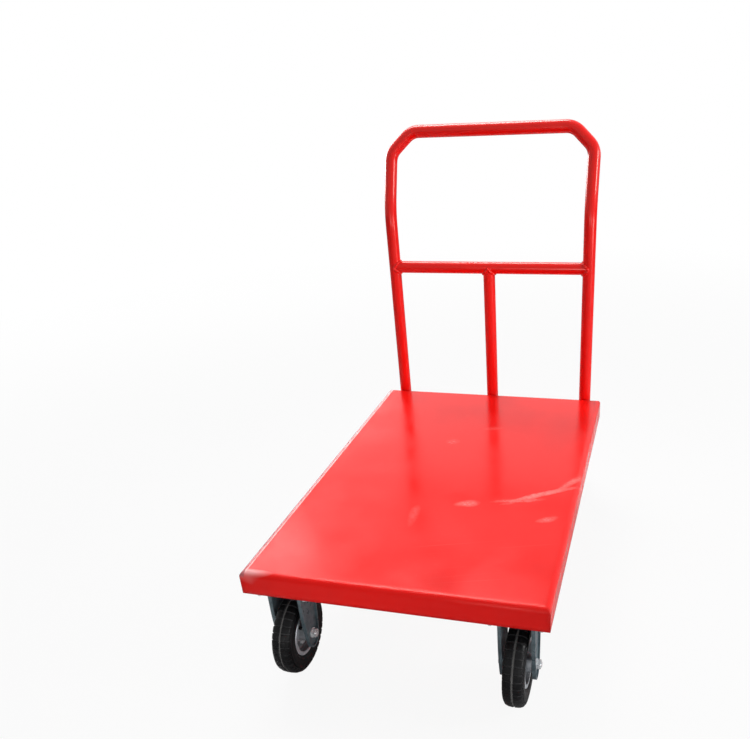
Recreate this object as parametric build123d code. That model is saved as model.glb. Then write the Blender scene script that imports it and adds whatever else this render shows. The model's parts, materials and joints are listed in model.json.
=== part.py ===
from build123d import *
import os
from math import cos, radians, sin, tan

# A platform hand cart: a folded sheet-steel deck on a channel under-frame, a bent tube push handle
# welded behind the deck, two rigid casters at the front and two swivel casters at the handle end.
# Millimetres. X runs across the cart, +Y towards the handle, +Z up. The origin is on the floor,
# under the centre of the whole cart.

# Deck
deck_length = 1000
deck_width = 660
deck_height = 298            # floor to the top of the deck
deck_sheet = 3
flange_depth = 55
flange_bend = 12             # outer radius of the fold all round the deck

# Handle, heights measured from the top of the deck
tube_radius = 16.85          # one-inch pipe
tube_wall = 2.6
post_x = 282                 # centre of each upright from the middle of the cart
crossbar_height = 382
knee_height = 542            # where the upright's two straight centre lines would cross
knee_radius = 240
lean = 20                    # degrees that the upper part leans back
top_bar_height = 738
corner_cut = 57              # each upper corner is cut off by a short diagonal run, this far along both sides
corner_radius = 50           # bend radius at both ends of the diagonal

# Under-frame channels
frame_depth = 50
frame_sheet = 3
frame_bend = 6
rail_width = 30
beam_width = 112
middle_width = 70

# Casters
wheel_radius = 95
wheel_x = 256
wheel_y = 431                # caster plate centres, from the middle of the deck
trail = 45                   # swivel axis to wheel axle
plate_width = 135            # across the cart
plate_length = 110
plate_sheet = 5
plate_corner = 10
plate_hole_radius = 5.5
plate_hole_x = 105
plate_hole_y = 80
leg_gap = 62                 # between the two legs of a fork
leg_sheet = 4
leg_bend = 8                 # outer radius of the fold between web and leg
leg_lip = 4                  # how far the pressed rim of a leg stands out
leg_rim = 4
leg_top_clear = 8            # depth below the top that the pressed rim leaves plain
rigid_half = 34              # half the rigid leg's width at its top
rigid_shoulder = 172         # height below which the rigid leg is drawn in
rigid_tip = 59               # height of the rigid leg's lower end
rigid_tip_radius = 24
leg_boss = 23                # half the swivel leg's width where it carries the axle
fork_front = -26             # the swivel leg's top edge, from the swivel axis
fork_back = 38
fork_waist = 100

# Swivel head
crown_top = 216
crown_radius = 44
crown_rim_drop = 3
crown_sheet = 5
cup_radius = 41
cup_wall = 3
cup_bottom = 229
boss_radius = 19
race_inner = 24
race_outer = 36
race_groove = 3.2            # radius of the track that the balls run in
race_gap = 0.8
kingpin_radius = 6
kingpin_end = 201.5
kingpin_nut_height = 6
running_clearance = 0.05

# Wheel
tyre_width = 46
tyre_crown_width = 23
tyre_crown_drop = 0.8
tyre_shoulder = (20.6, 85)   # across from the middle, and out from the axle
tyre_groove_x = 11
tyre_groove_width = 2.6
tyre_groove_depth = 2.5
rim_radius = 47.5
rim_width = 40
rim_sheet = 2.5
rim_flange_radius = 54
web_thickness = 5
web_fillet = 8
rim_lip_chamfer = 0.8
rim_bolt_circle = 31
rim_bolt_count = 5
rim_bolt_hole = 3.2
hub_radius = 20
hub_collar_radius = 24
hub_collar_width = 14
hub_width = 56
seal_inner = 9.5
seal_outer = 16
seal_depth = 1.5
axle_radius = 6
axle_head_end = 44.5         # from the middle of the wheel to the bolt head's face
axle_nut_end = 45.5
axle_thread_end = 47.5
axle_hole_slack = 0.25
nut_radius = 10.9            # to its corners
nut_chamfer = 1
washer_radius = 12
washer_sheet = 2

# Places worked out from the sizes above
top_bar_reach = (top_bar_height - knee_height) * tan(radians(lean))
front_reach = wheel_y + wheel_radius
rear_reach = deck_length / 2 + 2 * tube_radius + top_bar_reach
deck_middle = (front_reach - rear_reach) / 2
deck_rear = deck_middle + deck_length / 2
handle_y = deck_rear + tube_radius
flange_bottom = deck_height - flange_depth
frame_top = deck_height - deck_sheet
plate_top = frame_top - frame_depth
plate_bottom = plate_top - plate_sheet
front_y = deck_middle - wheel_y
rear_y = deck_middle + wheel_y
beam_inner_wall = wheel_y - beam_width / 2
rail_face = deck_width / 2 - flange_bend
leg_face = leg_gap / 2
leg_outside = leg_face + leg_sheet


def both_sides(shape):
    """The right-hand piece and its mirror image on the left."""
    return {"right": shape, "left": mirror(shape, about=Plane.YZ)}


def write(name, shape):
    export_step(shape, f"parts/{name}.step")


# Deck and under-frame

def folded_block(inset, height, bend):
    """A block with a rounded upper rim, set in from the deck's outline."""
    block = Box(
        deck_width - 2 * inset,
        deck_length - 2 * inset,
        height,
        align=(Align.CENTER, Align.CENTER, Align.MIN),
    )
    return fillet(block.faces().sort_by(Axis.Z)[-1].edges(), bend)


def deck_tray():
    """One folded sheet: the platform and the flange that hangs from all four of its edges."""
    outside = folded_block(0, flange_depth, flange_bend)
    inside = folded_block(deck_sheet, flange_depth - deck_sheet, flange_bend - deck_sheet)
    return Pos(0, deck_middle, flange_bottom) * (outside - inside)


def channel_profile(width, depth):
    """A folded U, open at the top, with its outer corners rounded."""
    outside = Rectangle(width, depth, align=(Align.CENTER, Align.MIN))
    outside = fillet(outside.vertices().group_by(Axis.Y)[0], frame_bend)
    hollow = Rectangle(width - 2 * frame_sheet, depth, align=(Align.CENTER, Align.MIN))
    hollow = fillet(hollow.vertices().group_by(Axis.Y)[0], frame_bend - frame_sheet)
    return outside - Pos(0, frame_sheet) * hollow


def cross_channel(width, length, y):
    """A channel across the cart, open towards the deck."""
    start = Plane(origin=(-length / 2, y, plate_top), x_dir=(0, 1, 0), z_dir=(1, 0, 0))
    return extrude(start * channel_profile(width, frame_depth), amount=length)


def plate_bolt_holes(x, y, height):
    """The four bolts of a caster plate, as cutters that pass through everything near its top."""
    holes = GridLocations(plate_hole_x, plate_hole_y, 2, 2) * Cylinder(plate_hole_radius, height)
    return [Pos(x, y, plate_top) * hole for hole in holes]


def caster_beam(y):
    """A wide channel under one end of the deck, drilled for a caster at each side."""
    beam = cross_channel(beam_width, 2 * rail_face, y)
    for x in (-wheel_x, wheel_x):
        beam -= plate_bolt_holes(x, y, 4 * frame_sheet)
    return beam


def side_rail():
    """The right-hand rail between the caster beams, open towards the middle of the cart."""
    start = Plane(
        origin=(rail_face, deck_middle + beam_inner_wall, plate_top + frame_depth / 2),
        x_dir=(0, 0, 1),
        z_dir=(0, -1, 0),
    )
    return extrude(start * channel_profile(frame_depth, rail_width), amount=2 * beam_inner_wall)


# Handle

def tube_profile():
    return Circle(tube_radius) - Circle(tube_radius - tube_wall)


def handle_loop():
    """Two uprights and the top bar, bent from one tube."""
    foot, knee, top = flange_bottom, deck_height + knee_height, deck_height + top_bar_height
    top_y = handle_y + top_bar_reach
    cut_y = top_y - corner_cut * sin(radians(lean))
    cut_z = top - corner_cut * cos(radians(lean))
    path = FilletPolyline(
        (-post_x, handle_y, foot),
        (-post_x, handle_y, knee),
        (-post_x, cut_y, cut_z),
        (corner_cut - post_x, top_y, top),
        (post_x - corner_cut, top_y, top),
        (post_x, cut_y, cut_z),
        (post_x, handle_y, knee),
        (post_x, handle_y, foot),
        radius=[knee_radius] + 4 * [corner_radius] + [knee_radius],
    )
    return sweep(Plane(origin=path @ 0, z_dir=path % 0) * tube_profile(), path=path)


def handle_crossbar():
    """A tube between the uprights, its ends coped to their round sides."""
    height = deck_height + crossbar_height
    start = Plane(origin=(-post_x, handle_y, height), x_dir=(0, 1, 0), z_dir=(1, 0, 0))
    bar = extrude(start * tube_profile(), amount=2 * post_x)
    for x in (-post_x, post_x):
        bar -= Pos(x, handle_y, height) * Cylinder(tube_radius, 4 * tube_radius)
    return bar


def handle_centre_post():
    """A post from the crossbar to the deck's rear flange, its top coped to the crossbar."""
    height = deck_height + crossbar_height
    post = extrude(Pos(0, handle_y, flange_bottom) * tube_profile(), amount=height - flange_bottom)
    crossbar = Pos(0, handle_y, height) * Rot(0, 90, 0) * Cylinder(tube_radius, 4 * tube_radius)
    return post - crossbar


# Caster frames. Each is built over the floor point under its plate's centre, then moved into place.

def caster_plate():
    """The bolted top plate, with rounded corners and four holes."""
    plate = extrude(RectangleRounded(plate_width, plate_length, plate_corner), amount=plate_sheet)
    return Pos(0, 0, plate_bottom) * plate - plate_bolt_holes(0, 0, 4 * plate_sheet)


def rigid_outline():
    """Side view of a rigid leg: parallel edges to its shoulder, then long arcs in to a round tip."""
    rise = rigid_shoulder - rigid_tip - rigid_tip_radius
    width_squared = rigid_half**2 - rigid_tip_radius**2
    side_radius = (width_squared + rise**2) / (2 * (rigid_half - rigid_tip_radius))
    share = rigid_tip_radius / (side_radius - rigid_tip_radius)
    meet_y = share * (side_radius - rigid_half)
    meet_z = rigid_tip + rigid_tip_radius - share * rise
    tip = ThreePointArc((-meet_y, meet_z), (0, rigid_tip), (meet_y, meet_z))
    back_sweep = TangentArc(tip @ 1, (rigid_half, rigid_shoulder), tangent=tip % 1)
    front_sweep = TangentArc(tip @ 0, (-rigid_half, rigid_shoulder), tangent=-(tip % 0))
    upper = Polyline(
        (rigid_half, rigid_shoulder),
        (rigid_half, plate_bottom),
        (-rigid_half, plate_bottom),
        (-rigid_half, rigid_shoulder),
    )
    return make_face([tip, back_sweep, upper, front_sweep])


def swivel_outline():
    """Side view of a swivel leg: swept from the crown to its waist, straight below, round at the axle."""
    front, back = trail - leg_boss, trail + leg_boss
    front_sweep = TangentArc((front, fork_waist), (fork_front, crown_top), tangent=(0, 1))
    back_sweep = TangentArc((back, fork_waist), (fork_back, crown_top), tangent=(0, 1))
    boss = ThreePointArc(
        (front, wheel_radius), (trail, wheel_radius - leg_boss), (back, wheel_radius)
    )
    front_edge = Line(boss @ 0, front_sweep @ 0)
    back_edge = Line(boss @ 1, back_sweep @ 0)
    closing = Line(front_sweep @ 1, back_sweep @ 1)
    return make_face([front_edge, front_sweep, closing, back_sweep, back_edge, boss])


def folded_web(top, length):
    """An inverted U of one sheet, seen from the front, long enough to cut both legs from."""
    width = 2 * leg_outside
    outside = Rectangle(width, top, align=(Align.CENTER, Align.MIN))
    outside = fillet(outside.vertices().group_by(Axis.Y)[-1], leg_bend)
    hollow = Rectangle(width - 2 * leg_sheet, top - leg_sheet, align=(Align.CENTER, Align.MIN))
    hollow = fillet(hollow.vertices().group_by(Axis.Y)[-1], leg_bend - leg_sheet)
    return extrude(Plane.XZ * (outside - hollow), amount=length, both=True)


def pressed_legs(top, outline, axle_y):
    """Web and legs cut from the folded sheet, with each leg's rim pressed outwards."""
    blank = folded_web(top, 2 * outline.bounding_box().max.X)
    legs = blank & extrude(Plane.YZ * outline, amount=2 * leg_outside, both=True)
    rim = outline - offset(outline, amount=-leg_rim)
    rim -= Pos(0, top) * Rectangle(4 * leg_outside, 2 * leg_top_clear)
    lip = extrude(Plane.YZ.offset(leg_outside) * rim, amount=leg_lip)
    hole = Cylinder(axle_radius + axle_hole_slack, 4 * leg_outside, rotation=(0, 90, 0))
    return legs + lip + mirror(lip, about=Plane.YZ) - Pos(0, axle_y, wheel_radius) * hole


def rigid_bracket():
    """A caster plate with a pressed fork welded square under it."""
    return caster_plate() + pressed_legs(plate_bottom, rigid_outline(), 0)


def swivel_plate():
    """The top plate of a swivel caster, with the ball cup and the kingpin boss under it."""
    depth = plate_bottom - cup_bottom
    cup = extrude(Circle(cup_radius) - Circle(cup_radius - cup_wall), amount=depth)
    cup = chamfer(cup.edges().group_by(Axis.Z)[0], cup_wall / 3)
    boss = Cylinder(boss_radius, depth / 2, align=(Align.CENTER, Align.CENTER, Align.MAX))
    bore = Cylinder(kingpin_radius, 8 * plate_sheet)
    head = Pos(0, 0, cup_bottom) * cup + Pos(0, 0, plate_bottom) * boss
    return caster_plate() + head - Pos(0, 0, plate_top) * bore


def hexagon(height):
    """A hexagon of the caster's nuts and bolt heads, its corners turned off at both ends."""
    blank = Cylinder(nut_radius, height, align=(Align.CENTER, Align.CENTER, Align.MIN))
    blank = chamfer(blank.edges().filter_by(GeomType.CIRCLE), nut_chamfer)
    return blank & extrude(RegularPolygon(nut_radius, 6), amount=height)


def kingpin():
    """The pin that holds the fork to the plate, with its nut under the crown."""
    shank = Cylinder(
        kingpin_radius, plate_top - kingpin_end, align=(Align.CENTER, Align.CENTER, Align.MIN)
    )
    nut_top = crown_top - crown_sheet - race_gap
    nut = Pos(0, 0, nut_top - kingpin_nut_height) * hexagon(kingpin_nut_height)
    return Pos(0, 0, kingpin_end) * shank + nut


def ball_race():
    """The swivel bearing's inner ring, standing on the crown, with the track that its balls run in."""
    height = plate_bottom - race_gap - (plate_bottom - cup_bottom) / 2 - crown_top
    ring = Cylinder(race_outer, height) - Cylinder(race_inner, height)
    track = Torus(race_outer, race_groove)
    return Pos(0, 0, crown_top + height / 2) * (ring - track)


def swivel_fork():
    """A dished round crown on a pressed fork that trails behind its swivel axis."""
    crown = Cylinder(crown_radius, crown_sheet + crown_rim_drop)
    hollow = Cylinder(crown_radius - crown_sheet, crown_sheet + crown_rim_drop)
    crown = fillet(crown.edges().group_by(Axis.Z)[-1], crown_sheet)
    crown = Pos(0, 0, crown_top - (crown_sheet + crown_rim_drop) / 2) * crown
    hollow = Pos(0, 0, crown_top - crown_sheet - (crown_sheet + crown_rim_drop) / 2) * hollow
    bore = Cylinder(kingpin_radius + running_clearance, 8 * crown_sheet)
    body = crown - hollow + pressed_legs(crown_top, swivel_outline(), trail)
    return body - Pos(0, 0, crown_top) * bore


# Wheels. Each is built round the X axis at the origin, then moved to its axle.

def turned(profile):
    return revolve(profile, axis=Axis.X)


def tyre():
    """A pneumatic tyre, seated on the rim between its flanges, with two grooves round its tread."""
    seat = rim_width / 2 - rim_sheet
    belly = (tyre_width / 2, (rim_flange_radius + wheel_radius) / 2)
    edge = (tyre_crown_width / 2, wheel_radius - tyre_crown_drop)
    side = ThreePointArc((seat, rim_flange_radius), belly, tyre_shoulder)
    shoulder = TangentArc(side @ 1, edge, tangent=side % 1)
    crown = ThreePointArc(edge, (0, wheel_radius), (-edge[0], edge[1]))
    bead = Polyline(
        (-seat, rim_flange_radius), (-seat, rim_radius), (seat, rim_radius), (seat, rim_flange_radius)
    )
    mirrored = [mirror(arc, about=Plane.YZ) for arc in (side, shoulder)]
    section = make_face([side, shoulder, crown, bead] + mirrored)
    groove = Rectangle(tyre_groove_width, 2 * tyre_groove_depth)
    for x in (-tyre_groove_x, tyre_groove_x):
        section -= Pos(x, wheel_radius - tyre_crown_drop) * groove
    return turned(section)


def rim():
    """Two pressed bowls back to back: a web, a bed for the tyre and a flange at each side."""
    bed_radius = rim_radius - rim_sheet
    web_height = bed_radius - hub_collar_radius
    web = Pos(0, hub_collar_radius + web_height / 2) * Rectangle(web_thickness, web_height)
    section = web + Pos(0, rim_radius - rim_sheet / 2) * Rectangle(rim_width, rim_sheet)
    roots = section.vertices().filter_by_position(Axis.X, -web_thickness, web_thickness)
    section = fillet(roots.group_by(Axis.Y)[-1], web_fillet)
    flange_height = rim_flange_radius - rim_radius + rim_sheet
    for side in (-1, 1):
        flange = Rectangle(rim_sheet, flange_height, align=(Align.CENTER, Align.MIN))
        section += Pos(side * (rim_width - rim_sheet) / 2, rim_radius - rim_sheet) * flange
    section = chamfer(section.vertices().group_by(Axis.Y)[-1], rim_lip_chamfer)
    bolts = PolarLocations(rim_bolt_circle, rim_bolt_count) * Cylinder(rim_bolt_hole, rim_width)
    return turned(section) - [Rot(0, 90, 0) * bolt for bolt in bolts]


def hub():
    """The bearing housing through the wheel, with a recess at each end for the bearing's seal."""
    body = Pos(0, hub_radius / 2) * Rectangle(hub_width, hub_radius)
    collar = Pos(0, hub_collar_radius / 2) * Rectangle(hub_collar_width, hub_collar_radius)
    bore = Rectangle(hub_width, 2 * (axle_radius + running_clearance))
    section = body + collar - bore
    seal = Rectangle(2 * seal_depth, seal_outer - seal_inner, align=(Align.CENTER, Align.MIN))
    for side in (-1, 1):
        section -= Pos(side * hub_width / 2, seal_inner) * seal
    return turned(section)


def axle_bolt():
    """The axle: its head on the left, its nut on the right, and spacers beside the hub."""
    axle = Pos(0, 0, -axle_head_end) * Cylinder(
        axle_radius,
        axle_head_end + axle_thread_end,
        align=(Align.CENTER, Align.CENTER, Align.MIN),
    )
    spacer_length = leg_face - hub_width / 2 - race_gap
    spacer = Cylinder(seal_inner, spacer_length, align=(Align.CENTER, Align.CENTER, Align.MAX))
    washer = Cylinder(washer_radius, washer_sheet, align=(Align.CENTER, Align.CENTER, Align.MIN))
    clamp = Pos(0, 0, leg_face) * spacer + Pos(0, 0, leg_outside) * washer
    washer_face = leg_outside + washer_sheet
    head = Pos(0, 0, -axle_head_end) * hexagon(axle_head_end - washer_face)
    nut = Pos(0, 0, washer_face) * hexagon(axle_nut_end - washer_face)
    return Rot(0, 90, 0) * (axle + clamp + mirror(clamp, about=Plane.XY) + head + nut)


def write_caster(place, pieces, wheel_offset):
    """Writes a left and right caster: frame pieces over the plate, wheel pieces at the axle."""
    plate_y = front_y if place == "front" else rear_y
    for name, shape in {"tyre": tyre(), "rim": rim(), "hub": hub()}.items():
        pieces[name] = Pos(0, wheel_offset, wheel_radius) * shape
    for name, shape in pieces.items():
        for side, placed in both_sides(Pos(wheel_x, plate_y, 0) * shape).items():
            write(f"{place}_{side}_{name}", placed)
    for side, x in {"left": -wheel_x, "right": wheel_x}.items():
        bolt = Pos(x, plate_y + wheel_offset, wheel_radius) * axle_bolt()
        write(f"{place}_{side}_axle_bolt", bolt)


def main():
    os.makedirs("parts", exist_ok=True)
    write("deck_tray", deck_tray())
    write("front_caster_beam", caster_beam(front_y))
    write("rear_caster_beam", caster_beam(rear_y))
    middle = cross_channel(middle_width, 2 * (rail_face - rail_width), deck_middle)
    write("middle_cross_member", middle)
    for side, rail in both_sides(side_rail()).items():
        write(f"{side}_side_rail", rail)
    write("handle_loop", handle_loop())
    write("handle_crossbar", handle_crossbar())
    write("handle_centre_post", handle_centre_post())
    write_caster("front", {"caster_bracket": rigid_bracket()}, 0)
    swivel_pieces = {
        "caster_plate": swivel_plate(),
        "kingpin": kingpin(),
        "ball_race": ball_race(),
        "fork": swivel_fork(),
    }
    write_caster("rear", swivel_pieces, trail)


main()
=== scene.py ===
import bpy
import bmesh
import json
from math import atan2, cos, hypot, pi, radians, sin
from mathutils import Matrix, Vector


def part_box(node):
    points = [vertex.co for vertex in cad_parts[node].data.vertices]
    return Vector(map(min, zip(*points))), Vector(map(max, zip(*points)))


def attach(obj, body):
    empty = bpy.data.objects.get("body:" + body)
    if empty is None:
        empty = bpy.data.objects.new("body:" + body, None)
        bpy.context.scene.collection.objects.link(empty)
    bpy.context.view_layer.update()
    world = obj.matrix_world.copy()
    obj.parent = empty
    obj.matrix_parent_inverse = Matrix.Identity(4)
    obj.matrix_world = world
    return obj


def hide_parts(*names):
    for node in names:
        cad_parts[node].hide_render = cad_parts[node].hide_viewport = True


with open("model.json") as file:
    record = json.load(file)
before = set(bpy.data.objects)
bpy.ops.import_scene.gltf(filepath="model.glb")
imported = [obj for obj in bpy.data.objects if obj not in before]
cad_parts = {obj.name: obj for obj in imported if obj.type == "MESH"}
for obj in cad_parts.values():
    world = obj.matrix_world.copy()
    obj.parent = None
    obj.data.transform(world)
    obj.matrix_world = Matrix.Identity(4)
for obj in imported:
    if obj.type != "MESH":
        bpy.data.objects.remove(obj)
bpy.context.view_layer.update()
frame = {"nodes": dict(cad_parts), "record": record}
scene = bpy.context.scene
print("frame loaded:", len(frame["nodes"]), "nodes")

wheelNames = ["front_left", "front_right", "rear_left", "rear_right"]
casterNames = {"front": "caster_bracket", "rear": "caster_plate"}
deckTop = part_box("deck_tray")[1][2]


def middleOf(node):
    low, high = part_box(node)
    return (Vector(low) + Vector(high)) / 2


# camera

cameraView = {
    "place": (0.4922, -1.7000, 1.2428),
    "turn": (60.723, 3.263, 15.140),     # degrees about X, Y, Z
    "lens": 37.32,
    "shift": (-0.0933, 0.1473),
}


def makeCamera():
    lensData = bpy.data.cameras.new("camera")
    lensData.sensor_width = 36
    lensData.lens = cameraView["lens"]
    lensData.shift_x, lensData.shift_y = cameraView["shift"]
    camera = bpy.data.objects.new("camera", lensData)
    camera.location = cameraView["place"]
    camera.rotation_euler = [radians(a) for a in cameraView["turn"]]
    scene.collection.objects.link(camera)
    scene.camera = camera


makeCamera()
print("camera placed")


# shader helpers

def newMaterial(name):
    material = bpy.data.materials.new(name)
    material.use_nodes = True
    tree = material.node_tree
    return material, tree, tree.nodes["Principled BSDF"]


def addNode(tree, kind, values=None, **settings):
    node = tree.nodes.new(kind)
    for key, value in settings.items():
        setattr(node, key, value)
    for key, value in (values or {}).items():
        node.inputs[key].default_value = value
    return node


def noise(tree, coords, scale, detail=3, roughness=0.5, distortion=0):
    node = addNode(tree, "ShaderNodeTexNoise", {
        "Scale": scale, "Detail": detail, "Roughness": roughness, "Distortion": distortion})
    tree.links.new(coords, node.inputs["Vector"])
    return node.outputs["Fac"]


def spread(tree, value, low, high, toLow=0.0, toHigh=1.0):
    node = addNode(tree, "ShaderNodeMapRange", {
        "From Min": low, "From Max": high, "To Min": toLow, "To Max": toHigh})
    tree.links.new(value, node.inputs["Value"])
    return node.outputs["Result"]


def combine(tree, first, second, operation="MULTIPLY"):
    node = addNode(tree, "ShaderNodeMath", operation=operation)
    for socket, value in zip(node.inputs, (first, second)):
        if isinstance(value, (int, float)):
            socket.default_value = value
        else:
            tree.links.new(value, socket)
    return node.outputs["Value"]


def blendColours(tree, amount, first, second):
    node = addNode(tree, "ShaderNodeMix", data_type="RGBA")
    tree.links.new(amount, node.inputs["Factor"])
    for socket, value in ((node.inputs["A"], first), (node.inputs["B"], second)):
        if isinstance(value, tuple):
            socket.default_value = (*value, 1)
        else:
            tree.links.new(value, socket)
    return node.outputs["Result"]


def placed(tree, place=(0, 0, 0), turn=0, scale=(1, 1, 1)):
    coords = addNode(tree, "ShaderNodeTexCoord")
    mapping = addNode(tree, "ShaderNodeMapping", {
        "Location": place, "Rotation": (0, 0, radians(turn)), "Scale": scale})
    mapping.vector_type = "TEXTURE"      # place and turn act on the pattern itself
    tree.links.new(coords.outputs["Object"], mapping.inputs["Vector"])
    return mapping.outputs["Vector"]


def objectCoords(tree):
    return addNode(tree, "ShaderNodeTexCoord").outputs["Object"]


def roundedBy(tree, radius):
    return addNode(tree, "ShaderNodeBevel", {"Radius": radius}, samples=4).outputs["Normal"]


def bump(tree, layers, normal=None):
    for height, distance, strength in layers:
        node = addNode(tree, "ShaderNodeBump", {"Strength": strength, "Distance": distance})
        tree.links.new(height, node.inputs["Height"])
        if normal:
            tree.links.new(normal, node.inputs["Normal"])
        normal = node.outputs["Normal"]
    return normal


def sphere(tree, vector):
    node = addNode(tree, "ShaderNodeTexGradient", gradient_type="SPHERICAL")
    tree.links.new(vector, node.inputs["Vector"])
    return node.outputs["Fac"]


# red enamel on the deck, under-frame and handle

enamelFinish = {
    "colour": (0.84, 0.006, 0.004),
    "deepColour": (0.74, 0.004, 0.003),
    "dustColour": (0.80, 0.12, 0.10),
    "gloss": (0.15, 0.27),
    "deckSheen": (1.0, 0.26, 0.24),      # colour of the paint's gloss seen square on
    "tubeSheen": (1.0, 0.55, 0.50),
    "wave": (3.2, 1, 0.004, 0.35),       # pattern scale and detail, height and strength
    "peel": (240, 2, 0.0004, 0.10),
}

deckWearAndPaintedLight = {
    "foldRadius": 0.012,         # the tray's folds, softened by the paint pooled on them
    # place on the deck, half width and length, turn and strength of each rubbed spot
    "spots": [((0.245, -0.118), (0.110, 0.012), 36, 0.60), ((0.306, -0.050), (0.060, 0.011), 58, 0.45),
              ((0.195, -0.153), (0.070, 0.010), 16, 0.35), ((0.080, -0.185), (0.034, 0.020), 16, 0.45),
              ((0.274, -0.222), (0.030, 0.013), 30, 0.35), ((-0.030, -0.250), (0.014, 0.055), 4, 0.16),
              ((-0.035, 0.129), (0.022, 0.016), 0, 0.15), ((0.056, 0.223), (0.030, 0.012), 20, 0.12)],
    # a painted highlight on the deck's front-left corner: place, half size, turn and strength
    "cornerPaintedHighlight": ((-0.312, -0.532), (0.060, 0.010), 1, 0.65),
    # painted shade: a darker patch where the deck shows less sheen
    "shadedPatch": ((0.252, 0.190), (0.085, 0.230), -6, 0.55),
    "spotDepth": 0.05,           # reach of the spots above and below the deck's top
    "scratches": 0.10,
    "rubGloss": 0.3,             # how much duller a rubbed spot is
    # the fold line is a painted highlight along the left fold's crest
    "foldHighlightLine": (-0.3165, 0.0021, 0.80),     # place across the deck, half width and strength
    "foldTop": (0.0025, 0.0010),         # depths below the top between which the line fades in
    "foldSide": (0.014, 0.008),
    "foldShade": 0.75,
    "rubColour": (0.94, 0.40, 0.37),
    "paintedShadeColour": (0.66, 0.004, 0.003),
    # painted highlight colour, used on the fold's crest and the front-left corner
    "paintedHighlightColour": (0.98, 0.60, 0.60),
    # painted shade: the dark mauve reflection where the left fold turns down
    "paintedFoldShadeColour": (0.44, 0.13, 0.15),
    "scratchColour": (0.86, 0.16, 0.14),
}


def rubbedSpot(tree, place, size, turn, sway=0.5):
    local = placed(tree, (*place, deckTop), turn, (*size, deckWearAndPaintedLight["spotDepth"]))
    ripple = noise(tree, placed(tree, turn=turn), 14, 2)
    bent = addNode(tree, "ShaderNodeVectorMath", operation="ADD")
    offset = addNode(tree, "ShaderNodeCombineXYZ")
    tree.links.new(spread(tree, ripple, 0.2, 0.8, -sway, sway), offset.inputs["Y"])
    tree.links.new(local, bent.inputs[0])
    tree.links.new(offset.outputs["Vector"], bent.inputs[1])
    return spread(tree, sphere(tree, bent.outputs["Vector"]), 0.0, 0.75)


def paintedFoldLight(tree, coords, colour):
    # the left fold: a painted highlight line along its crest, and painted shade, a dark mauve painted
    # reflection, where it turns down
    axes = addNode(tree, "ShaderNodeSeparateXYZ")
    tree.links.new(coords, axes.inputs[0])
    crest, half, strength = deckWearAndPaintedLight["foldHighlightLine"]
    top = spread(tree, axes.outputs["Z"], *(deckTop - depth for depth in deckWearAndPaintedLight["foldTop"]))
    side = spread(tree, axes.outputs["Z"], *(deckTop - depth for depth in deckWearAndPaintedLight["foldSide"]))
    away = combine(tree, combine(tree, axes.outputs["X"], crest, "SUBTRACT"), 0, "MAXIMUM")
    over = combine(tree, combine(tree, crest, axes.outputs["X"], "SUBTRACT"), 0, "MAXIMUM")
    line = spread(tree, combine(tree, away, over, "ADD"), half, half * 0.4, 0, strength)
    highlightFlicker = spread(tree, noise(tree, coords, 26, 4, 0.6), 0.3, 0.5, 0.55, 1)
    shade = combine(tree, spread(tree, over, half * 0.6, half * 1.4, 0, deckWearAndPaintedLight["foldShade"]), side)
    colour = blendColours(tree, shade, colour, deckWearAndPaintedLight["paintedFoldShadeColour"])
    line = combine(tree, combine(tree, line, highlightFlicker), top)
    return blendColours(tree, line, colour, deckWearAndPaintedLight["paintedHighlightColour"])


def wornDeckAndPaintedLight(tree, coords, colour, gloss):
    # fine scratches, a painted shade patch, the rubbed spots, the painted highlight on the corner and the
    # left fold's painted light and shade, in that order
    lines = noise(tree, placed(tree, turn=17, scale=(0.9, 0.016, 1)), 2.2, 2, 0.4)
    lines = spread(tree, lines, 0.70, 0.78)
    where = spread(tree, noise(tree, coords, 3.1, 2), 0.52, 0.68)
    scratches = combine(tree, combine(tree, lines, where), deckWearAndPaintedLight["scratches"])
    colour = blendColours(tree, scratches, colour, deckWearAndPaintedLight["scratchColour"])
    # painted shade on the far right of the deck
    place, size, turn, strength = deckWearAndPaintedLight["shadedPatch"]
    paintedShadePatch = combine(tree, rubbedSpot(tree, place, size, turn, 0.08), strength)
    colour = blendColours(tree, paintedShadePatch, colour, deckWearAndPaintedLight["paintedShadeColour"])
    rubbed = spread(tree, noise(tree, coords, 90, 5, 0.7), 0.35, 0.65, 0.35, 1)
    worn = None
    for place, size, turn, strength in deckWearAndPaintedLight["spots"]:
        spot = combine(tree, rubbedSpot(tree, place, size, turn), strength)
        worn = combine(tree, worn, spot, "MAXIMUM") if worn else spot
    worn = combine(tree, worn, rubbed)
    colour = blendColours(tree, worn, colour, deckWearAndPaintedLight["rubColour"])
    # painted highlight on the front-left corner
    place, size, turn, strength = deckWearAndPaintedLight["cornerPaintedHighlight"]
    paintedCornerHighlight = combine(tree, rubbedSpot(tree, place, size, turn, 0.2), strength)
    colour = blendColours(tree, paintedCornerHighlight, colour, deckWearAndPaintedLight["paintedHighlightColour"])
    gloss = combine(tree, gloss, combine(tree, worn, deckWearAndPaintedLight["rubGloss"]), "ADD")
    return paintedFoldLight(tree, coords, colour), gloss


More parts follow.
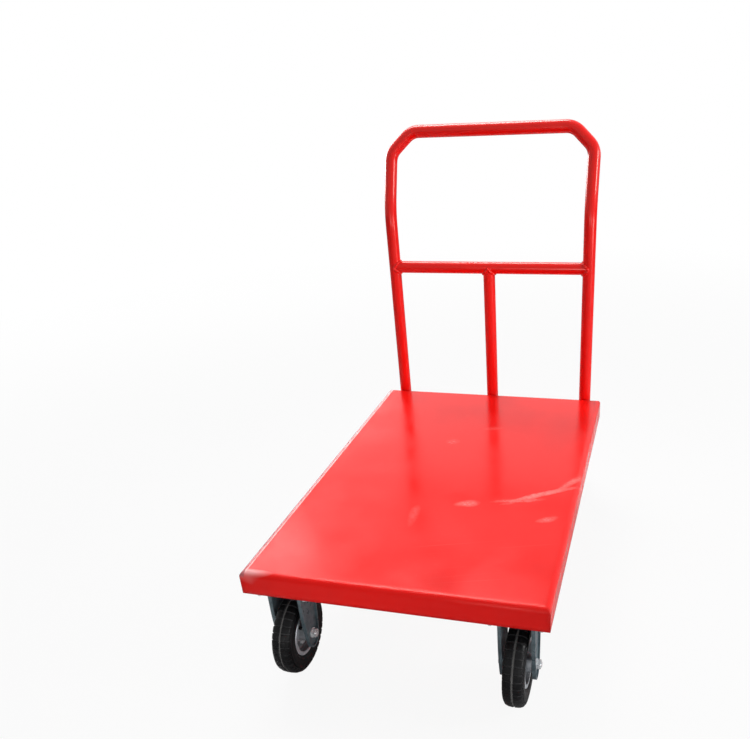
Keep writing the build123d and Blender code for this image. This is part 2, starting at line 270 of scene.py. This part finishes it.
def makeEnamel(name, sheen, isDeck=False):
    material, tree, shader = newMaterial(name)
    coords = objectCoords(tree)
    cloud = spread(tree, noise(tree, coords, 2.4, 4, 0.6), 0.35, 0.68)
    colour = blendColours(tree, cloud, enamelFinish["colour"], enamelFinish["deepColour"])
    dust = noise(tree, coords, 70, 6, 0.75)
    patchy = noise(tree, coords, 5, 3)
    dust = combine(tree, spread(tree, dust, 0.58, 0.8, 0, 0.16), spread(tree, patchy, 0.45, 0.7))
    colour = blendColours(tree, dust, colour, enamelFinish["dustColour"])
    gloss = spread(tree, noise(tree, coords, 11, 5, 0.6), 0.3, 0.7, *enamelFinish["gloss"])
    fold = None
    if isDeck:
        colour, gloss = wornDeckAndPaintedLight(tree, coords, colour, gloss)
        fold = roundedBy(tree, deckWearAndPaintedLight["foldRadius"])
    layers = [(noise(tree, coords, scale, detail), height, strength)
              for scale, detail, height, strength in (enamelFinish["wave"], enamelFinish["peel"])]
    normal = bump(tree, layers, fold)
    tree.links.new(colour, shader.inputs["Base Color"])
    tree.links.new(gloss, shader.inputs["Roughness"])
    tree.links.new(normal, shader.inputs["Normal"])
    shader.inputs["Specular Tint"].default_value = (*enamelFinish[sheen], 1)
    return material


# plated steel and rubber

steelFinishes = {
    "darkZinc": {"colours": ((0.070, 0.100, 0.115), (0.150, 0.200, 0.225)), "metallic": 0.30,
                 "gloss": (0.24, 0.38), "grain": 55},
    "brightZinc": {"colours": ((0.72, 0.74, 0.76), (0.84, 0.86, 0.88)), "metallic": 0.45,
                   "gloss": (0.18, 0.32), "grain": 80},
    "satinRim": {"colours": ((0.56, 0.59, 0.63), (0.70, 0.73, 0.77)), "metallic": 0.65,
                 "gloss": (0.26, 0.40), "grain": 60},
}

# painted shade darkening the rim's dish
rimDishShade = {"colour": (0.030, 0.031, 0.034), "inside": 0.0440, "outside": 0.0490, "strength": 0.88,
            "reach": 0.1}            # radius of the gradient, which is long across the wheel


def makeSteel(name, axle=None):
    finish = steelFinishes[name]
    material, tree, shader = newMaterial(name)
    coords = objectCoords(tree)
    spangle = spread(tree, noise(tree, coords, finish["grain"], 5, 0.65), 0.35, 0.65)
    colour = blendColours(tree, spangle, *finish["colours"])
    if axle:
        # painted shade: the rim's dish is painted dark, as it lies in shade, and its flange is left
        # bright
        reach = rimDishShade["reach"]
        dish = sphere(tree, placed(tree, axle, scale=(100 * reach, reach, reach)))
        dishShade = spread(tree, dish, 1 - rimDishShade["outside"] / reach, 1 - rimDishShade["inside"] / reach,
                       0, rimDishShade["strength"])
        dishShade = combine(tree, dishShade, spread(tree, noise(tree, coords, 45, 5, 0.7), 0.25, 0.6, 0.7, 1))
        colour = blendColours(tree, dishShade, colour, rimDishShade["colour"])
        metal = spread(tree, dishShade, 0, 1, finish["metallic"], 0)
        tree.links.new(metal, shader.inputs["Metallic"])
    gloss = spread(tree, noise(tree, coords, 24, 4, 0.6), 0.3, 0.7, *finish["gloss"])
    drawn = noise(tree, placed(tree, scale=(1, 1, 0.08)), 420, 2)
    tree.links.new(colour, shader.inputs["Base Color"])
    tree.links.new(gloss, shader.inputs["Roughness"])
    tree.links.new(bump(tree, [(drawn, 0.00015, 0.25)]), shader.inputs["Normal"])
    shader.inputs["Metallic"].default_value = finish["metallic"]
    return material


rubberFinishes = {
    "tyreRubber": {"colours": ((0.004, 0.004, 0.0045), (0.011, 0.011, 0.012)), "gloss": (0.28, 0.44),
                   "sheen": 0.11, "cornerRadius": 0.0012},
    # the block walls and the groove are paler: dust, and a painted highlight standing for glints on the
    # tread's edges
    "gapRubberDustAndGlint": {"colours": ((0.024, 0.024, 0.026), (0.066, 0.065, 0.067)), "gloss": (0.5, 0.7),
                  "sheen": 0.14},
    "grooveRubberDustAndGlint": {"colours": ((0.120, 0.118, 0.116), (0.230, 0.225, 0.220)), "gloss": (0.6, 0.8),
                     "sheen": 0.18},
}


def makeRubber(name):
    finish = rubberFinishes[name]
    material, tree, shader = newMaterial(name)
    coords = objectCoords(tree)
    mottle = spread(tree, noise(tree, coords, 60, 6, 0.7), 0.35, 0.7)
    colour = blendColours(tree, mottle, *finish["colours"])
    gloss = spread(tree, noise(tree, coords, 35, 4, 0.6), 0.3, 0.7, *finish["gloss"])
    pores = noise(tree, coords, 900, 3)
    tree.links.new(colour, shader.inputs["Base Color"])
    tree.links.new(gloss, shader.inputs["Roughness"])
    corner = roundedBy(tree, finish["cornerRadius"]) if "cornerRadius" in finish else None
    tree.links.new(bump(tree, [(pores, 0.0002, 0.3)], corner), shader.inputs["Normal"])
    shader.inputs["Specular IOR Level"].default_value = finish["sheen"]
    return material


deckEnamel = makeEnamel("deckEnamel", "deckSheen", isDeck=True)
redEnamel = makeEnamel("redEnamel", "tubeSheen")
steels = {name: makeSteel(name) for name in steelFinishes}
rimSteels = {wheel + "_rim": makeSteel("satinRim", middleOf(wheel + "_rim")) for wheel in wheelNames}
rubbers = {name: makeRubber(name) for name in rubberFinishes}

slotFinishes = {
    "red_paint": redEnamel,
    "zinc_steel": steels["darkZinc"],
    "bright_steel": steels["brightZinc"],
    "rim_steel": steels["satinRim"],
    "rubber": rubbers["tyreRubber"],
}


def paintFrame():
    for part in frame["record"]["subparts"]:
        finish = slotFinishes[part["material_slot"]]
        if part["node"] == "deck_tray":
            finish = deckEnamel
        finish = rimSteels.get(part["node"], finish)
        node = frame["nodes"][part["node"]]
        node.data.materials.clear()
        node.data.materials.append(finish)


paintFrame()
print("finishes on the frame")


# pieces that the frame leaves to this script

def finishPiece(bm, name, materials, body, sharpAngle):
    mesh = bpy.data.meshes.new(name)
    bm.to_mesh(mesh)
    bm.free()
    mesh.shade_smooth()
    mesh.set_sharp_from_angle(angle=radians(sharpAngle))
    for material in materials:
        mesh.materials.append(material)
    piece = bpy.data.objects.new(name, mesh)
    scene.collection.objects.link(piece)
    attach(piece, body)
    return piece


def bodyOf(node):
    return next(body for body, nodes in frame["record"]["behaviour"]["bodies"].items() if node in nodes)


def repeatRound(bm, centre, axis, count):
    bmesh.ops.spin(bm, geom=bm.verts[:] + bm.edges[:] + bm.faces[:], cent=centre, axis=axis,
                   angle=2 * pi * (count - 1) / count, steps=count - 1, use_duplicate=True)


# treaded tyres

tyreShape = {
    "blocks": 36,
    "stepsPerBlock": 4,
    "gapAfter": 2,               # steps from the start of the pitch to the gap between two blocks
    "middleGroove": 0.0022,      # half its width
    "blockGap": 0.0012,          # half the gap between two blocks
    "blockRise": 0.0027,
    "blockTaper": 0.0004,
    # across from the middle and out from the axle, from the bead to the crown
    "section": [
        (0.0173, 0.0478), (0.0173, 0.0546), (0.0187, 0.0562), (0.0203, 0.0592), (0.0213, 0.0612),
        (0.0220, 0.0618), (0.0223, 0.0629), (0.0221, 0.0640), (0.0227, 0.0678), (0.0229, 0.0722),
        (0.0227, 0.0760), (0.0223, 0.0786), (0.0226, 0.0794), (0.0224, 0.0806), (0.0212, 0.0816),
        (0.0189, 0.0826), (0.0188, 0.0855), (0.0163, 0.0891), (0.0110, 0.0912), (0.0008, 0.0921)],
    "treadFrom": 15,             # the first point of the section that belongs to the tread
}


def tyreSector(shape):
    # one block's pitch; each row's gap lies inside it, so every row crosses the cut in mid-block
    bm = bmesh.new()
    points = [Vector((x, 0, r)) for x, r in shape["section"]]
    points += [Vector((-x, 0, r)) for x, r in reversed(shape["section"])]
    loop = [bm.verts.new(point) for point in points]
    for first, second in zip(loop, loop[1:] + loop[:1]):
        bm.edges.new((first, second))
    pitch = 2 * pi / shape["blocks"]
    bmesh.ops.spin(bm, geom=bm.verts[:] + bm.edges[:], cent=(0, 0, 0), axis=(1, 0, 0), angle=pitch,
                   steps=shape["stepsPerBlock"])
    bm.normal_update()
    crown = max(bm.faces, key=lambda face: face.calc_center_median().length)
    if crown.normal.dot(crown.calc_center_median()) < 0:
        bmesh.ops.reverse_faces(bm, faces=bm.faces[:])
    blocks = {}
    for face in bm.faces:
        middle = face.calc_center_median()
        if abs(middle.x) < shape["section"][-1][0]:
            face.material_index = 2      # the groove round the middle
        elif hypot(middle.y, middle.z) > shape["section"][shape["treadFrom"]][1]:
            step = int(atan2(-middle.y, middle.z) / pitch * shape["stepsPerBlock"])
            blocks.setdefault((middle.x > 0, step < shape["gapAfter"]), []).append(face)
    for block in blocks.values():
        rim = bmesh.ops.inset_region(bm, faces=block, thickness=shape["blockGap"], use_even_offset=True)
        walls = bmesh.ops.inset_region(bm, faces=block, thickness=shape["blockTaper"],
                                       depth=shape["blockRise"], use_even_offset=True)
        for face in rim["faces"] + walls["faces"]:
            face.material_index = 2 if abs(face.calc_center_median().x) < shape["middleGroove"] else 1
        for face in block:
            face.material_index = 0
    return bm


def wholeTyre(shape):
    bm = tyreSector(shape)
    repeatRound(bm, (0, 0, 0), (1, 0, 0), shape["blocks"])
    bmesh.ops.remove_doubles(bm, verts=bm.verts[:], dist=0.0002)
    bmesh.ops.recalc_face_normals(bm, faces=bm.faces[:])
    pattern = bpy.data.meshes.new("tyrePattern")
    bm.to_mesh(pattern)
    bm.free()
    return pattern


tyrePattern = wholeTyre(tyreShape)
for wheel in wheelNames:
    bm = bmesh.new()
    bm.from_mesh(tyrePattern)
    bmesh.ops.translate(bm, verts=bm.verts[:], vec=middleOf(wheel + "_tyre"))
    treaded = finishPiece(bm, wheel + "_treadedTyre", list(rubbers.values()), wheel + "_wheel",
                          38)
    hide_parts(wheel + "_tyre")
bpy.data.meshes.remove(tyrePattern)
print("tyres treaded")


# hex bolts, nuts and washers

def addRod(bm, place, radius, length, chamfer, segments=24, axis="Z"):
    turn = Matrix.Rotation(radians(90), 4, "Y") if axis == "X" else Matrix.Identity(4)
    made = bmesh.ops.create_cone(bm, cap_ends=True, segments=segments, radius1=radius, radius2=radius,
                                 depth=length, matrix=Matrix.Translation(place) @ turn)
    rims = {edge for vert in made["verts"] for edge in vert.link_edges
            if any(len(face.verts) == segments for face in edge.link_faces)}
    bmesh.ops.bevel(bm, geom=list(rims), offset=chamfer, affect="EDGES", segments=2, profile=0.5,
                    material=-1)


rimBolt = {
    "count": 5,
    "circle": 0.0310,
    "webHalf": 0.0025,
    "washer": (0.0062, 0.0010, 0.0004, 20),      # radius, thickness, chamfer and sides
    "hex": (0.0058, 0.0040, 0.0004, 6),
    "shank": (0.0030, 0.0045, 0.0005, 16),
}


def makeRimBolts(wheel):
    centre = middleOf(wheel + "_rim")
    bm = bmesh.new()
    seat = centre - Vector((0, 0, rimBolt["circle"]))
    for side in (-1, 1):
        face = rimBolt["webHalf"]
        for radius, thick, chamfer, sides in (rimBolt["washer"], rimBolt["hex"]):
            place = seat + Vector((side * (face + thick / 2), 0, 0))
            addRod(bm, place, radius, thick, chamfer, sides, "X")
            face += thick
    radius, length, chamfer, sides = rimBolt["shank"]      # its end shows past the last nut
    addRod(bm, seat + Vector((face, 0, 0)), radius, length, chamfer, sides, "X")
    repeatRound(bm, centre, (1, 0, 0), rimBolt["count"])
    finishPiece(bm, wheel + "_rimBolts", [steels["brightZinc"]], wheel + "_wheel", 30)


for wheel in wheelNames:
    makeRimBolts(wheel)

plateBolt = {
    "spacing": (0.105, 0.080),
    "plate": 0.005,
    "plateAndWeb": 0.008,
    # radius, thickness, chamfer and sides of each piece, from the washer up
    "washer": (0.0100, 0.0016, 0.0003, 24),
    "nut": (0.0098, 0.0080, 0.0008, 6),
    "head": (0.0098, 0.0064, 0.0008, 6),
    "shank": (0.0050, 0.0340, 0.0008, 16),
    "shankSunk": 0.001,          # below the head's face
}


def makePlateBolts(wheel):
    low, high = (Vector(corner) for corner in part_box(wheel + "_" + casterNames[wheel.split("_")[0]]))
    under = high.z - plateBolt["plate"]
    nutTop = -plateBolt["washer"][1]
    headTop = plateBolt["plateAndWeb"] + plateBolt["head"][1]
    tops = {"washer": 0, "nut": nutTop, "head": headTop, "shank": headTop - plateBolt["shankSunk"]}
    bm = bmesh.new()
    for x in (-1, 1):
        for y in (-1, 1):
            spot = Vector(((low.x + high.x) / 2 + x * plateBolt["spacing"][0] / 2,
                           (low.y + high.y) / 2 + y * plateBolt["spacing"][1] / 2, under))
            for part, top in tops.items():
                radius, thick, chamfer, sides = plateBolt[part]
                addRod(bm, spot + Vector((0, 0, top - thick / 2)), radius, thick, chamfer, sides)
    finishPiece(bm, wheel + "_plateBolts", [steels["brightZinc"]], "chassis", 30)


for wheel in wheelNames:
    makePlateBolts(wheel)
print("bolts fitted")


# bearing balls in the swivel heads

swivelBalls = {"count": 34, "radius": 0.0030, "circle": 0.0364}


def makeBalls(side):
    node = "rear_" + side + "_ball_race"
    centre = middleOf(node)
    bm = bmesh.new()
    first = centre + Vector((swivelBalls["circle"], 0, 0))
    bmesh.ops.create_uvsphere(bm, u_segments=10, v_segments=7, radius=swivelBalls["radius"],
                              matrix=Matrix.Translation(first))
    repeatRound(bm, centre, (0, 0, 1), swivelBalls["count"])
    finishPiece(bm, node + "_balls", [steels["brightZinc"]], bodyOf(node), 80)


for side in ("left", "right"):
    makeBalls(side)


# valve stems, on the inner side of each rim

valve = {
    "turn": 36,                  # degrees round the wheel
    "lean": 22,
    "foot": 0.0445,
    "across": 0.0115,
    "stem": (0.0034, 0.0150, 0),         # radius, length and start
    "cap": (0.0044, 0.0060, 0.0110),
    "chamfer": 0.0006,
}


def makeValve(wheel):
    centre = middleOf(wheel + "_rim")
    inner = 1 if "left" in wheel else -1
    bm = bmesh.new()
    foot = Vector((inner * valve["across"], 0, valve["foot"]))
    for radius, length, start in (valve["stem"], valve["cap"]):
        addRod(bm, foot - Vector((0, 0, start + length / 2)), radius, length, valve["chamfer"], 16)
    bmesh.ops.rotate(bm, verts=bm.verts[:], cent=foot,
                     matrix=Matrix.Rotation(radians(-inner * valve["lean"]), 3, "Y"))
    bmesh.ops.rotate(bm, verts=bm.verts[:], cent=(0, 0, 0),
                     matrix=Matrix.Rotation(radians(valve["turn"]), 3, "X"))
    bmesh.ops.translate(bm, verts=bm.verts[:], vec=centre)
    finishPiece(bm, wheel + "_valve", [rubbers["tyreRubber"]], wheel + "_wheel", 30)


for wheel in wheelNames:
    makeValve(wheel)
print("balls and valves in")


# weld beads, laid as a row of overlapping drops

weld = {
    "radius": 0.0030,
    "barRadius": 0.0042,
    "bracketRadius": 0.0020,
    "pitch": 0.0022,
    "ringCloser": 1.15,          # the rings bend up and down, so they take a few more drops
    "foot": (0.0075, 0.0015, 0.002, 0.042),      # across and behind, and from where to where in height
    "stitch": (0.020, 0.001),            # half length, and how far it stands off the channel
    "stitchInset": 0.060,
    "bracket": (0.0305, 0.040, 0.0052),          # across, half length and depth below the plate's top
}


def beadPattern():
    bm = bmesh.new()
    bmesh.ops.create_uvsphere(bm, u_segments=8, v_segments=6, radius=1)
    bm.verts.index_update()
    corners = [vert.co.copy() for vert in bm.verts]
    faces = [[vert.index for vert in face.verts] for face in bm.faces]
    bm.free()
    return corners, faces


beadCorners, beadFaces = beadPattern()


def addBeads(bm, points, radius):
    for point in points:
        verts = [bm.verts.new(point + corner * radius) for corner in beadCorners]
        for face in beadFaces:
            bm.faces.new([verts[k] for k in face])


def straightRow(start, end):
    start, end = Vector(start), Vector(end)
    count = max(2, round((end - start).length / weld["pitch"]))
    return [start.lerp(end, k / count) for k in range(count + 1)]


def ringRow(place, coped, saddle):
    # runs round a tube whose end is cut to sit on another tube of the same size
    count = round(2 * pi * saddle / weld["pitch"] * weld["ringCloser"])
    turns = [2 * pi * k / count for k in range(count)]
    return [Vector(place) + coped(saddle * cos(t), saddle * sin(t)) for t in turns]


def makeHandleWelds():
    loopLow, loopHigh = (Vector(corner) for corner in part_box("handle_loop"))
    barLow, barHigh = (Vector(corner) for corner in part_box("handle_crossbar"))
    bar = middleOf("handle_crossbar")
    tube = (barHigh.z - barLow.z) / 2
    leftPost, rightPost = loopLow.x + tube, loopHigh.x - tube
    bm = bmesh.new()
    for side, x in ((1, leftPost), (-1, rightPost)):
        ring = ringRow((x, bar.y, bar.z), lambda a, b, s=side: Vector((s * abs(b), a, b)), tube)
        addBeads(bm, ring, weld["barRadius"])
    addBeads(bm, ringRow(bar, lambda a, b: Vector((a, b, -abs(a))), tube), weld["barRadius"])
    across, behind, start, end = weld["foot"]
    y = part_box("deck_tray")[1][1] + behind
    for post in (leftPost, bar.x, rightPost):
        for x in (post - across, post + across):
            addBeads(bm, straightRow((x, y, loopLow.z + start), (x, y, loopLow.z + end)), weld["radius"])
    finishPiece(bm, "handleWelds", [redEnamel], "chassis", 60)


def makeFrameWelds():
    # short stitches along the channels, where their lips meet the deck
    half, standOff = weld["stitch"]
    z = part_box("front_caster_beam")[1][2] - standOff
    bm = bmesh.new()
    for node in ("front_caster_beam", "middle_cross_member", "rear_caster_beam"):
        low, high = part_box(node)
        for y in (low[1] - standOff, high[1] + standOff):
            for k in range(-2, 3):
                x = k * (high[0] - weld["stitchInset"]) / 2
                addBeads(bm, straightRow((x - half, y, z), (x + half, y, z)), weld["radius"])
    finishPiece(bm, "frameWelds", [redEnamel], "chassis", 60)


def makeBracketWelds(wheel):
    node = wheel + "_caster_bracket"
    middle = middleOf(node)
    across, half, depth = weld["bracket"]
    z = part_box(node)[1][2] - depth
    bm = bmesh.new()
    for x in (middle.x - across, middle.x + across):
        addBeads(bm, straightRow((x, middle.y - half, z), (x, middle.y + half, z)), weld["bracketRadius"])
    finishPiece(bm, wheel + "_bracketWelds", [steels["darkZinc"]], "chassis", 60)


makeHandleWelds()
makeFrameWelds()
for wheel in wheelNames[:2]:
    makeBracketWelds(wheel)
print("welds laid")


# floor, backdrop and light

studio = {
    "floorSize": 60,
    "floorColour": (0.50, 0.50, 0.50),
    "shadowStrength": 0.08,      # how much of the floor's real shading the camera sees
    "shadowReach": 5,
    "worldLevel": 0.30,
}

lamps = {                        # power, size, place, aim and how far the light fans out
    "deckPanel": (16, (2.2, 1.4), (-0.9, 1.5, 3.3), (0, -0.10, 0.3), 60),
    "rightPanel": (28, (2.2, 0.9), (2.9, 0.6, 1.9), (0, 0.4, 0.8), 180),
    "rightBox": (30, (0.4, 0.8), (3.0, -0.05, 1.95), (0, 0.5, 0.9), 180),
    "backPanel": (5, (4.4, 2.3), (-0.9, 3.9, 1.9), (0, 0, 0.4), 180),
    "cornerPanel": (5, (0.6, 0.5), (-2.1, 2.4, 2.6), (-0.2, -0.4, 0.3), 180),
    "edgeStrip": (36, (2.6, 0.4), (-2.5, 2.7, 0.95), (-0.33, 0, 0.3), 180),
    "lowFront": (8, (0.5, 0.4), (1.6, -2.6, 0.5), (0, -0.5, 0.1), 180),
    "lowRight": (26, (1.2, 0.4), (3.0, -0.9, 0.35), (-0.1, -0.47, 0.1), 180),
    "frontSpot": (0.42, (0.4, 0.4), (-0.1, -2.7, 0.6), (-0.05, 0.5, 0.37), 30),
}


def seenRays(tree, reflections):
    rays = addNode(tree, "ShaderNodeLightPath")
    if not reflections:
        return rays.outputs["Is Camera Ray"]
    shown = combine(tree, rays.outputs["Is Camera Ray"], rays.outputs["Is Glossy Ray"], "MAXIMUM")
    return combine(tree, shown, rays.outputs["Is Transmission Ray"], "MAXIMUM")


def makeWorld():
    world = bpy.data.worlds.new("studio")
    scene.world = world
    world.use_nodes = True
    tree = world.node_tree
    ambient = tree.nodes["Background"]
    ambient.inputs["Color"].default_value = (1, 1, 1, 1)
    ambient.inputs["Strength"].default_value = studio["worldLevel"]
    white = addNode(tree, "ShaderNodeBackground", {"Color": (1, 1, 1, 1), "Strength": 1.0})
    mixed = addNode(tree, "ShaderNodeMixShader")
    tree.links.new(seenRays(tree, True), mixed.inputs["Fac"])
    tree.links.new(ambient.outputs[0], mixed.inputs[1])
    tree.links.new(white.outputs[0], mixed.inputs[2])
    tree.links.new(mixed.outputs[0], tree.nodes["World Output"].inputs["Surface"])


def makeFloor():
    bm = bmesh.new()
    bmesh.ops.create_grid(bm, x_segments=8, y_segments=8, size=studio["floorSize"] / 2)
    mesh = bpy.data.meshes.new("floor")
    bm.to_mesh(mesh)
    bm.free()
    floor = bpy.data.objects.new("floor", mesh)
    scene.collection.objects.link(floor)
    material, tree, shader = newMaterial("paleFloor")
    shader.inputs["Base Color"].default_value = (*studio["floorColour"], 1)
    shader.inputs["Roughness"].default_value = 0.9
    glow = addNode(tree, "ShaderNodeEmission", {"Color": (1, 1, 1, 1), "Strength": 1.0})
    halo = sphere(tree, placed(tree, scale=[studio["shadowReach"]] * 3))
    near = spread(tree, halo, 0.25, 0.75, 1.0, 1 - studio["shadowStrength"])
    mixed = addNode(tree, "ShaderNodeMixShader")
    tree.links.new(combine(tree, seenRays(tree, False), near), mixed.inputs["Fac"])
    tree.links.new(shader.outputs[0], mixed.inputs[1])
    tree.links.new(glow.outputs[0], mixed.inputs[2])
    tree.links.new(mixed.outputs[0], tree.nodes["Material Output"].inputs["Surface"])
    mesh.materials.append(material)


def makeLamp(name, power, size, place, aim, fan):
    lamp = bpy.data.lights.new(name, "AREA")
    lamp.energy = power
    lamp.shape = "RECTANGLE"
    lamp.size, lamp.size_y = size
    lamp.spread = radians(fan)
    holder = bpy.data.objects.new(name, lamp)
    holder.location = place
    holder.rotation_euler = (Vector(aim) - Vector(place)).to_track_quat("-Z", "Y").to_euler()
    holder.visible_camera = False
    scene.collection.objects.link(holder)


makeWorld()
makeFloor()
for lampName, settings in lamps.items():
    makeLamp(lampName, *settings)
print("studio lit")

scene.view_settings.view_transform = "Standard"
